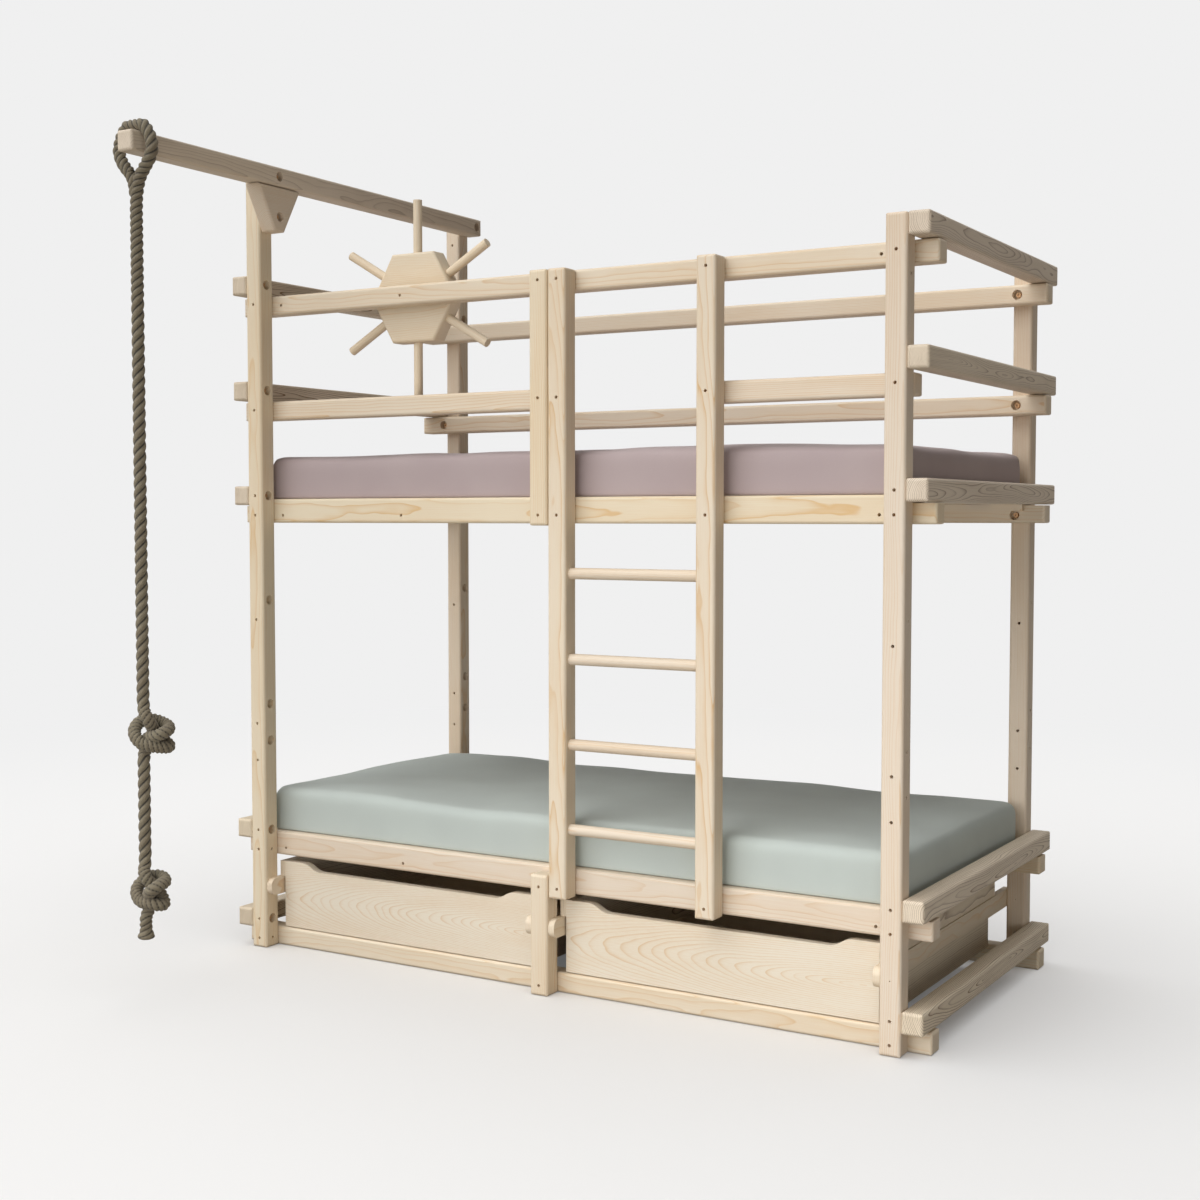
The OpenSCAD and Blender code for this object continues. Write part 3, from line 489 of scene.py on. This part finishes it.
def join_pine(kit, shader, group):
    kit.put(shader.inputs["Base Color"], group.outputs["Color"])
    kit.put(shader.inputs["Roughness"], group.outputs["Roughness"])
    bumped(kit, shader, group.outputs["Height"], *PINE_BUMP)


def pine_material(name, grain, middle, draw, pith=None, pitch=0.0046, warp=0.007, contrast=0.95,
                  early=None, late=None, tilt=0.012, slope=0):
    """Pine with its grain along an axis, its own pith and its own tone, for one piece. The pith
    passes the piece's middle at the given distances, leans at random up to the tilt, and by the slope."""
    material, kit, shader = new_material(name)
    side = draw.uniform(0, 2 * math.pi)
    away = draw.uniform(0.028, 0.085)
    if pith is None:
        pith = (away * math.cos(side), away * math.sin(side))
    lean = (draw.uniform(-tilt, tilt), draw.uniform(-tilt, tilt) + slope)
    along = draw.uniform(-3, 3)
    turn = Matrix.Rotation(lean[0], 3, "Y") @ Matrix.Rotation(lean[1], 3, "Z")
    straight = {"X": Matrix.Identity(3), "Y": Matrix.Rotation(-math.pi / 2, 3, "Z"),
                "Z": Matrix.Rotation(math.pi / 2, 3, "Y")}[grain]
    turn = turn @ straight
    mapping = kit.add("ShaderNodeMapping", vector_type="POINT")
    mapping.inputs["Location"].default_value = Vector((along, pith[0], pith[1])) - turn @ middle
    mapping.inputs["Rotation"].default_value = turn.to_euler("XYZ")
    kit.put(mapping.inputs["Vector"], kit.object_place())
    group = kit.add("ShaderNodeGroup", node_tree=PINE)
    tone = draw.uniform(-1, 1)
    if early is None:
        early = srgb(227 + 2 * tone, 213 + 2 * tone, 191 - 2 * tone)
    if late is None:
        late = srgb(206 + 4 * tone, 162 + 4 * tone, 98)
    for key, value in (("Pitch", pitch * draw.uniform(0.8, 1.25)), ("Warp", warp), ("Early", early),
                       ("Late", late), ("Contrast", contrast * draw.uniform(0.8, 1.1))):
        group.inputs[key].default_value = value
    kit.put(group.inputs["Vector"], mapping.outputs["Vector"])
    join_pine(kit, shader, group)
    return material


GRAIN_X = ["floor_rail_front", "floor_rail_rear", "side_rail_lower_front", "side_rail_lower_rear",
           "side_rail_upper_front", "side_rail_upper_rear", "guard_rail_top_front",
           "guard_rail_mid_left", "guard_rail_mid_right", "guard_rail_top_rear",
           "guard_rail_mid_rear", "slat_ledgers_upper", "slat_ledgers_lower"]
GRAIN_Y = ["gallows_beam", "gallows_bracket", "slats_upper", "slats_lower",
           "drawer_runners_left", "drawer_runners_right"]
GRAIN_Y += [f"end_beam_{end}_{level}" for end in ("left", "right")
            for level in ("floor", "lower", "upper", "guard", "top")]
GRAIN_Y += [f"drawer_{bay}_{part}" for bay in ("left", "right")
            for part in ("side_left", "side_right", "battens")]
GRAIN_Z = ["post_front_left", "post_front_right", "post_rear_left", "post_rear_right",
           "foot_post_front", "foot_post_rear", "ladder_upright_left", "ladder_upright_right",
           "ladder_short_upright"]
PANELS_X = [f"drawer_{bay}_{part}" for bay in ("left", "right") for part in ("front", "back", "bottom")]

PANEL_LOOKS = dict(pith=(0.060, 0.01), pitch=0.005, warp=0.017, tilt=0.02, contrast=0.75)
# The pith nears a drawer front's face to the right, where the rings show as nested arches
FRONT_LOOKS = dict(pith=(0.060, 0.01), pitch=0.0042, warp=0.007, tilt=0.005, contrast=0.95, slope=-0.105,
                   early=srgb(230, 220, 202))
RUNG_LOOKS = dict(pith=(0.4, 0.3), contrast=0.6)
HUB_LOOKS = dict(pith=(0.09, 0.02), warp=0.016, tilt=0.08)
# The end beams' dark, high-contrast rings are partly their grain and partly painted shade that darkens the
# whole beam
END_BEAM_LOOKS = dict(pitch=0.0042, warp=0.016, contrast=1.7, late=BOLD_LATE_AND_SHADE)
GALLOWS_LOOKS = dict(pith=(0.10, 0.03), pitch=0.0042, warp=0.012, contrast=0.6, late=BOLD_LATE_AND_SHADE)
DRAWER_LOOKS = dict(pitch=0.0042, contrast=1.2, late=BOLD_LATE_AND_SHADE)


def middle_of(node):
    low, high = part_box(node)
    return (Vector(low) + Vector(high)) / 2


def looks_of(node, draw):
    """What sets a beam's or a board's figure apart from plain pine; on the end beams it also paints in shade.
    """
    if node.startswith("end_beam") or node == "gallows_beam":
        # Drawn for the gallows beam too, which keeps the order of the draws
        pith = (draw.uniform(0.040, 0.055), draw.uniform(-0.012, 0.012))
        return GALLOWS_LOOKS if node == "gallows_beam" else dict(END_BEAM_LOOKS, pith=pith)
    if node.startswith("drawer") and "runners" not in node:
        return DRAWER_LOOKS
    return {}


def finish_node(node, grain, draw, looks):
    use_only(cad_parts[node], pine_material("pine_" + node, grain, middle_of(node), draw, **looks))


def finish_timber():
    draw = random.Random(11)
    for grain, nodes in (("X", GRAIN_X), ("Y", GRAIN_Y), ("Z", GRAIN_Z)):
        for node in nodes:
            finish_node(node, grain, draw, looks_of(node, draw))
    for node in PANELS_X:
        finish_node(node, "X", draw, FRONT_LOOKS if node.endswith("front") else PANEL_LOOKS)
    finish_node("ladder_rungs", "X", draw, RUNG_LOOKS)
    finish_node("wheel_hub", "X", draw, HUB_LOOKS)
    use_only(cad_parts["wheel_spokes"], spoke_material())


SPOKE_ANGLE = math.pi / 3
# Metres between the figures of two spokes, and from a spoke's middle to its pith
SPOKE_SHIFT = 1.7
SPOKE_PITH = 0.21


def spoke_material():
    """Dowel pine whose fibres run out from the wheel's axle along each of the six spokes."""
    material, kit, shader = new_material("pine_wheel_spokes")
    mapping = kit.add("ShaderNodeMapping", vector_type="POINT")
    mapping.inputs["Location"].default_value = -middle_of("wheel_spokes")
    kit.put(mapping.inputs["Vector"], kit.object_place())
    x, y, z = kit.parts(mapping.outputs["Vector"])
    angle = kit.math("ARCTAN2", x, z)
    spoke = kit.math("ROUND", kit.math("DIVIDE", angle, SPOKE_ANGLE))
    off = kit.math("SUBTRACT", angle, kit.math("MULTIPLY", spoke, SPOKE_ANGLE))
    radius = kit.vector("LENGTH", kit.joined(x, 0, z))
    along = kit.math("ADD", kit.math("MULTIPLY", radius, kit.math("COSINE", off)),
                     kit.math("MULTIPLY", spoke, SPOKE_SHIFT))
    across = kit.math("ADD", kit.math("MULTIPLY", radius, kit.math("SINE", off)), SPOKE_PITH)
    group = kit.add("ShaderNodeGroup", node_tree=PINE)
    kit.put(group.inputs["Vector"], kit.joined(along, across, y))
    group.inputs["Contrast"].default_value = 0.6
    join_pine(kit, shader, group)
    return material


# Bolts

BLOTCH_SCALE = 160
BRUSH_SCALE = (900, 900, 2600)


def steel_material():
    """Yellow zinc on steel with fine brushing and slight blotches; its brownish tone is partly painted shade,
    the warm shade inside the recesses that hold the heads.
    """
    material, kit, shader = new_material("bolt_yellow_zinc_recess_shade", roughness=0.4)
    place = kit.object_place()
    blotch, _ = kit.noise(place, BLOTCH_SCALE, detail=3)
    scratch, _ = kit.noise(kit.scaled(place, *BRUSH_SCALE), 1, detail=1)
    # Brownish zinc tones: partly the plating, partly painted warm shade of the recesses around the bolt heads
    tone = kit.mix(kit.ramp(blotch, 0.3, 0.7), srgb(188, 146, 104), srgb(206, 166, 122))
    kit.put(shader.inputs["Base Color"], tone)
    kit.put(shader.inputs["Roughness"], kit.ramp(scratch, 0.3, 0.7, 0.38, 0.55))
    shader.inputs["Metallic"].default_value = 0.35
    bumped(kit, shader, scratch, 0.12, 0.0002)
    return material


# Rope's material. U counts strands round the rope and V is metres along it.

YARNS_PER_STRAND = 11
# Yarns that a line along the rope crosses in a metre
YARN_SLANT = 80
YARN_WANDER = 0.8
THREADS_PER_YARN = 2.6


def rope_material():
    """Twisted hemp: yarns wound across each strand, with painted shade in the grooves, with stray fibres."""
    material, kit, shader = new_material("hemp_rope_yarn", roughness=0.86)
    uv = kit.add("ShaderNodeUVMap", uv_map="rope").outputs["UV"]
    turn, along, _ = kit.parts(uv)
    crown = kit.add("ShaderNodeAttribute", attribute_name="crown").outputs["Fac"]
    slant = kit.math("ADD", kit.math("MULTIPLY", turn, YARNS_PER_STRAND),
                     kit.math("MULTIPLY", along, YARN_SLANT))
    wander, _ = kit.noise(kit.joined(kit.math("MULTIPLY", turn, 3), kit.math("MULTIPLY", along, 60), 0), 1)
    slant = kit.math("ADD", slant, kit.math("MULTIPLY", wander, YARN_WANDER))
    yarn = kit.math("ABSOLUTE", kit.math("SINE", kit.math("MULTIPLY", slant, math.pi)))
    thread, _ = kit.noise(kit.joined(kit.math("MULTIPLY", slant, THREADS_PER_YARN),
                                     kit.math("MULTIPLY", along, 90), 3), 1, detail=3, roughness=0.65)
    patch, _ = kit.noise(kit.object_place(), 24, detail=2)
    tone = kit.mix(kit.ramp(thread, 0.25, 0.75), srgb(103, 95, 78), srgb(149, 139, 116))
    tone = kit.mix(kit.ramp(patch, 0.35, 0.7, 0, 0.35), tone, srgb(118, 104, 86))
    # Painted shade: the colour darkens deep in the grooves between the strands and, a little, between the
    # yarns
    groove_shade = kit.math("MULTIPLY", kit.ramp(crown, 0.03, 0.65, 0.06, 1), kit.ramp(yarn, 0, 0.6, 0.86, 1))
    tone = kit.mix(1.0, tone, kit.joined(groove_shade, groove_shade, groove_shade), blend="MULTIPLY")
    kit.put(shader.inputs["Base Color"], tone)
    relief = kit.math("ADD", kit.math("MULTIPLY", yarn, 0.7), kit.math("MULTIPLY", thread, 0.5))
    bumped(kit, shader, relief, 0.4, 0.0006)
    shader.inputs["Sheen Weight"].default_value = 0.15
    shader.inputs["Sheen Roughness"].default_value = 0.6
    return material


# Mattresses in jersey covers. Sizes are in metres.

UPPER_HEIGHT, LOWER_HEIGHT = 0.122, 0.127
HALF_LENGTH, HALF_WIDTH = 1.0, 0.45
MATTRESS_CROWN = 0.008
CORNER_ROUND = 0.020
TOP_ROUND = 0.024
BOTTOM_ROUND = 0.005
SLAB_MARGIN = 0.001
VOXEL, QUICK_VOXEL = 0.016, 0.032
# Height and cycles per metre of the uneven filling
WAVE, WAVE_SCALE = 0.011, (2.4, 2.6)
RIPPLE, RIPPLE_CYCLES, RIPPLE_LAYER = 0.003, 5.5, 4
BLOW_PRESSURE = 4
BLOW_FRAMES = 20
LONGEST_MOVE = 0.007
# The rail carries the bottom edge flat: heights are stretched and lowered, down to the seat
SEAT, STRETCH, SINK = 0.0006, 1.09, 0.0115
BULGE_X, BULGE_Y = 0.006, 0.008

STITCH_SCALE = 900
FUZZ_SCALE = 700
CLOTH_CLOUD_SCALE = 5


def make_jersey_group():
    """Fine knitted cloth: small columns of stitches with soft tone changes."""
    kit, given, out = new_group(
        "jersey",
        [("Vector", "Vector", None), ("Cloth", "Color", None), ("Shade", "Color", None)],
        [("Color", "Color"), ("Height", "Float")])

    def spread(scale):
        return kit.scaled(given["Vector"], scale, scale, scale)

    x, y, z = kit.parts(spread(STITCH_SCALE))
    rows = kit.math("SINE", kit.math("MULTIPLY", kit.math("ADD", x, z), math.pi))
    columns = kit.math("SINE", kit.math("MULTIPLY", kit.math("ADD", y, z), math.pi * 0.8))
    stitch = kit.math("MULTIPLY", kit.math("ADD", rows, columns), 0.25)
    fuzz, _ = kit.noise(spread(FUZZ_SCALE), 1, detail=2)
    cloud, _ = kit.noise(spread(CLOTH_CLOUD_SCALE), 1, detail=2)
    factor = kit.math("ADD", kit.ramp(cloud, 0.3, 0.7, 0.0, 0.5), kit.ramp(fuzz, 0.3, 0.7, 0.0, 0.3),
                      clamp=True)
    kit.put(out["Color"], kit.mix(factor, given["Cloth"], given["Shade"]))
    kit.put(out["Height"], kit.math("ADD", stitch, kit.math("MULTIPLY", fuzz, 0.5)))
    return kit.tree


JERSEY = make_jersey_group()


def cover_material(name, cloth, shade):
    material, kit, shader = new_material(name, roughness=0.75)
    group = kit.add("ShaderNodeGroup", node_tree=JERSEY)
    kit.put(group.inputs["Vector"], kit.object_place())
    group.inputs["Cloth"].default_value = cloth
    group.inputs["Shade"].default_value = shade
    kit.put(shader.inputs["Base Color"], group.outputs["Color"])
    bumped(kit, shader, group.outputs["Height"], 0.25, 0.0004)
    shader.inputs["Sheen Weight"].default_value = 0.12
    shader.inputs["Sheen Roughness"].default_value = 0.5
    shader.inputs["Specular IOR Level"].default_value = 0.3
    return material


def round_edges(made, edges, width, segments):
    bmesh.ops.bevel(made, geom=edges, offset=width, affect="EDGES", segments=segments, profile=0.5,
                    material=-1)


def rim(made, inside):
    """The edges between a side and the top or the bottom whose two ends lie inside."""
    return [e for e in made.edges if all(inside(v.co.z) for v in e.verts) and len(e.link_faces) == 2
            and any(abs(f.normal.z) > 0.9 for f in e.link_faces)
            and any(abs(f.normal.z) < 0.1 for f in e.link_faces)]


def slab(name, node, height):
    """A rounded slab of the mattress's length and width, at its place."""
    low, high = (Vector(v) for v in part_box(node))
    size = high - low
    middle = low.z + height / 2
    mesh = bpy.data.meshes.new(name)
    made = bmesh.new()
    bmesh.ops.create_cube(made, size=1)
    bmesh.ops.scale(made, verts=made.verts,
                    vec=(size.x + 2 * SLAB_MARGIN, size.y + 2 * SLAB_MARGIN, height))
    bmesh.ops.translate(made, verts=made.verts,
                        vec=((low.x + high.x) / 2, (low.y + high.y) / 2, middle))
    upright = [e for e in made.edges if abs((e.verts[0].co - e.verts[1].co).z) > 0.05]
    round_edges(made, upright, CORNER_ROUND, 6)
    round_edges(made, rim(made, lambda z: z > middle), TOP_ROUND, 5)
    round_edges(made, rim(made, lambda z: z < middle), BOTTOM_ROUND, 3)
    bmesh.ops.recalc_face_normals(made, faces=made.faces)
    made.to_mesh(mesh)
    made.free()
    return add_object(name, mesh)


def apply_modifier(piece, modifier):
    for other in bpy.context.selected_objects:
        other.select_set(False)
    piece.select_set(True)
    bpy.context.view_layer.objects.active = piece
    bpy.ops.object.modifier_apply(modifier=modifier.name)


def fill_unevenly(piece, low, high, height, seed):
    """Raises the slab's upper part to its crown, with soft waves."""
    centre = (low + high) / 2
    drift = Vector((seed * 3.1, seed * 1.7, 0))
    for v in piece.data.vertices:
        u, w = (v.co.x - centre.x) / HALF_LENGTH, (v.co.y - centre.y) / HALF_WIDTH
        rise = max(0, (v.co.z - low.z) / height)
        crown = MATTRESS_CROWN * 0.5 * max(0, (1 - u ** 4)) * max(0, (1 - w ** 4))
        wave = noise.noise(Vector((v.co.x * WAVE_SCALE[0], v.co.y * WAVE_SCALE[1], 0)) + drift) * WAVE
        ripple = noise.noise(Vector((v.co.x * RIPPLE_CYCLES, v.co.y * RIPPLE_CYCLES, RIPPLE_LAYER))
                             + drift) * RIPPLE
        v.co.z += rise ** 3 * (crown + wave + ripple)


def blown_points(piece):
    """Where the mesh's points lie once cloth pressure has blown the cover up a little."""
    cloth = piece.modifiers.new("cloth", "CLOTH")
    cloth.settings.quality = 4
    cloth.settings.mass = 0.3
    cloth.settings.use_pressure = True
    cloth.settings.uniform_pressure_force = BLOW_PRESSURE
    cloth.settings.effector_weights.gravity = 0
    cloth.collision_settings.use_collision = False
    cloth.collision_settings.use_self_collision = False
    for frame_number in range(1, BLOW_FRAMES + 1):
        SCENE.frame_set(frame_number)
    bpy.context.view_layer.update()
    blown = piece.evaluated_get(bpy.context.evaluated_depsgraph_get())
    moved = [v.co.copy() for v in blown.to_mesh().vertices]
    blown.to_mesh_clear()
    piece.modifiers.remove(cloth)
    SCENE.frame_set(1)
    return moved


def make_mattress(name, node, material, height, seed):
    """A filled mattress in a stretched cover: cloth blown up a little around a rounded slab."""
    piece = slab(name, node, height)
    low, high = (Vector(v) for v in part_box(node))
    remesh = piece.modifiers.new("even_mesh", "REMESH")
    remesh.mode = "VOXEL"
    remesh.voxel_size = VOXEL
    apply_modifier(piece, remesh)
    fill_unevenly(piece, low, high, height, seed)
    start = [v.co.copy() for v in piece.data.vertices]
    moved = blown_points(piece)
    for v, a, b in zip(piece.data.vertices, start, moved):
        step = b - a
        if step.length > LONGEST_MOVE:
            step = step.normalized() * LONGEST_MOVE
        v.co = a + step
        v.co.z = low.z + max(SEAT, (v.co.z - low.z) * STRETCH - SINK)
        v.co.x = min(max(v.co.x, low.x - BULGE_X), high.x + BULGE_X)
        v.co.y = min(max(v.co.y, low.y - BULGE_Y), high.y + BULGE_Y)
    for poly in piece.data.polygons:
        poly.use_smooth = True
    finer = piece.modifiers.new("finer", "SUBSURF")
    finer.levels = finer.render_levels = 1
    apply_modifier(piece, finer)
    use_only(piece, material)
    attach(piece, "frame")
    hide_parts(node)


# Floor, light and background

OPEN_TONE = 0.871
FLOOR_SIZE = 60
FLOOR_ALBEDO = 0.80
FLOOR_BOUNCE = (0.15, 0.117, 0.075, 1)
FLOOR_GLOW = 0.10
# Distances from the object between which the floor passes into the backdrop's tone
FADE_START, FADE_END = 2.4, 6.5
AMBIENT = 0.07
AMBIENT_TONE = (1.0, 0.90, 0.76, 1)
WHITE, BLACK = (1, 1, 1, 1), (0, 0, 0, 1)
# Each sun's name, direction, strength, width in degrees, and whether it lights only the floor
SUNS = [("key", (-0.40, -0.84, 0.36), 1.68, 60, False),
        ("top", (-0.16, -0.28, 1), 1.85, 60, False),
        ("floor_light", (-0.22, -0.26, 1), 3.15, 126, True)]
# Each panel's name, place, target, power and diameter
PANELS = [("front_panel", (0.20, -2.60, 0.45), (0, 0.2, 0.8), 18, 1.6),
          ("far_panel", (5.2, -3.2, 0.45), (0, 0.1, 0.5), 36, 2.8),
          ("low_panel", (1.7, -1.7, 0.15), (0, 0, 0.2), 6, 0.8)]


def seen_ray(kit):
    """1 on rays that the camera sees directly, in gloss or through glass."""
    path = kit.add("ShaderNodeLightPath").outputs
    seen = kit.math("MAXIMUM", path["Is Camera Ray"], path["Is Glossy Ray"])
    return kit.math("MAXIMUM", seen, path["Is Transmission Ray"])


def limit_light(lamp, floor, only_floor):
    """Keeps a lamp to the floor alone, or off the floor, so that the floor stays evenly pale."""
    reach = bpy.data.collections.new(lamp.name + "_reach")
    reach.objects.link(floor)
    reach.collection_objects[0].light_linking.link_state = "INCLUDE" if only_floor else "EXCLUDE"
    lamp.light_linking.receiver_collection = reach


def make_sun(name, towards, strength, width, only_floor, floor):
    sun = bpy.data.lights.new(name, "SUN")
    sun.energy = strength
    sun.angle = math.radians(width)
    lamp = add_object(name, sun)
    lamp.rotation_euler = Vector(towards).to_track_quat("Z", "Y").to_euler()
    limit_light(lamp, floor, only_floor)


def make_panel(name, place, target, power, size, floor):
    panel = bpy.data.lights.new(name, "AREA")
    panel.shape = "DISK"
    panel.size = size
    panel.energy = power
    lamp = add_object(name, panel)
    lamp.location = place
    lamp.rotation_euler = (lamp.location - Vector(target)).to_track_quat("Z", "Y").to_euler()
    lamp.visible_camera = False
    limit_light(lamp, floor, False)


def make_floor():
    made = bmesh.new()
    bmesh.ops.create_grid(made, x_segments=8, y_segments=8, size=FLOOR_SIZE)
    mesh = bpy.data.meshes.new("floor")
    made.to_mesh(mesh)
    made.free()
    floor = add_object("floor", mesh)
    material, kit, shader = new_material("floor_pale", roughness=0.9)
    shader.inputs["Specular IOR Level"].default_value = 0.0
    seen = seen_ray(kit)
    far = kit.ramp(kit.vector("LENGTH", kit.object_place()), FADE_START, FADE_END)
    tone = kit.mix(far, (FLOOR_ALBEDO, FLOOR_ALBEDO, FLOOR_ALBEDO, 1), BLACK)
    kit.put(shader.inputs["Base Color"], kit.mix(seen, FLOOR_BOUNCE, tone))
    shader.inputs["Emission Color"].default_value = WHITE
    glow = kit.ramp(far, 0, 1, FLOOR_GLOW, OPEN_TONE, smooth=False)
    kit.put(shader.inputs["Emission Strength"], kit.math("MULTIPLY", seen, glow))
    use_only(floor, material)
    return floor


def make_stage():
    floor = make_floor()
    for sun in SUNS:
        make_sun(*sun, floor)
    for panel in PANELS:
        make_panel(*panel, floor)

    world = bpy.data.worlds.new("studio")
    world.use_nodes = True
    SCENE.world = world
    kit = Nodes(world.node_tree)
    background = world.node_tree.nodes["Background"]
    seen = seen_ray(kit)
    kit.put(background.inputs["Strength"], kit.ramp(seen, 0, 1, AMBIENT, OPEN_TONE, smooth=False))
    kit.put(background.inputs["Color"], kit.mix(seen, AMBIENT_TONE, WHITE))
    SCENE.view_settings.view_transform = "Standard"


make_rope(rope_material())
finish_timber()
STEEL = steel_material()
for fastener in ("bolts_across", "bolts_along", "wheel_axle_bolt", "wheel_spacer_washer"):
    use_only(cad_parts[fastener], STEEL)
make_mattress("mattress_upper_cover", "mattress_upper",
              cover_material("jersey_mauve", srgb(180, 165, 165), srgb(172, 156, 157)),
              UPPER_HEIGHT, seed=1)
make_mattress("mattress_lower_cover", "mattress_lower",
              cover_material("jersey_sage", srgb(191, 200, 195), srgb(183, 191, 187)),
              LOWER_HEIGHT, seed=2)
make_stage()
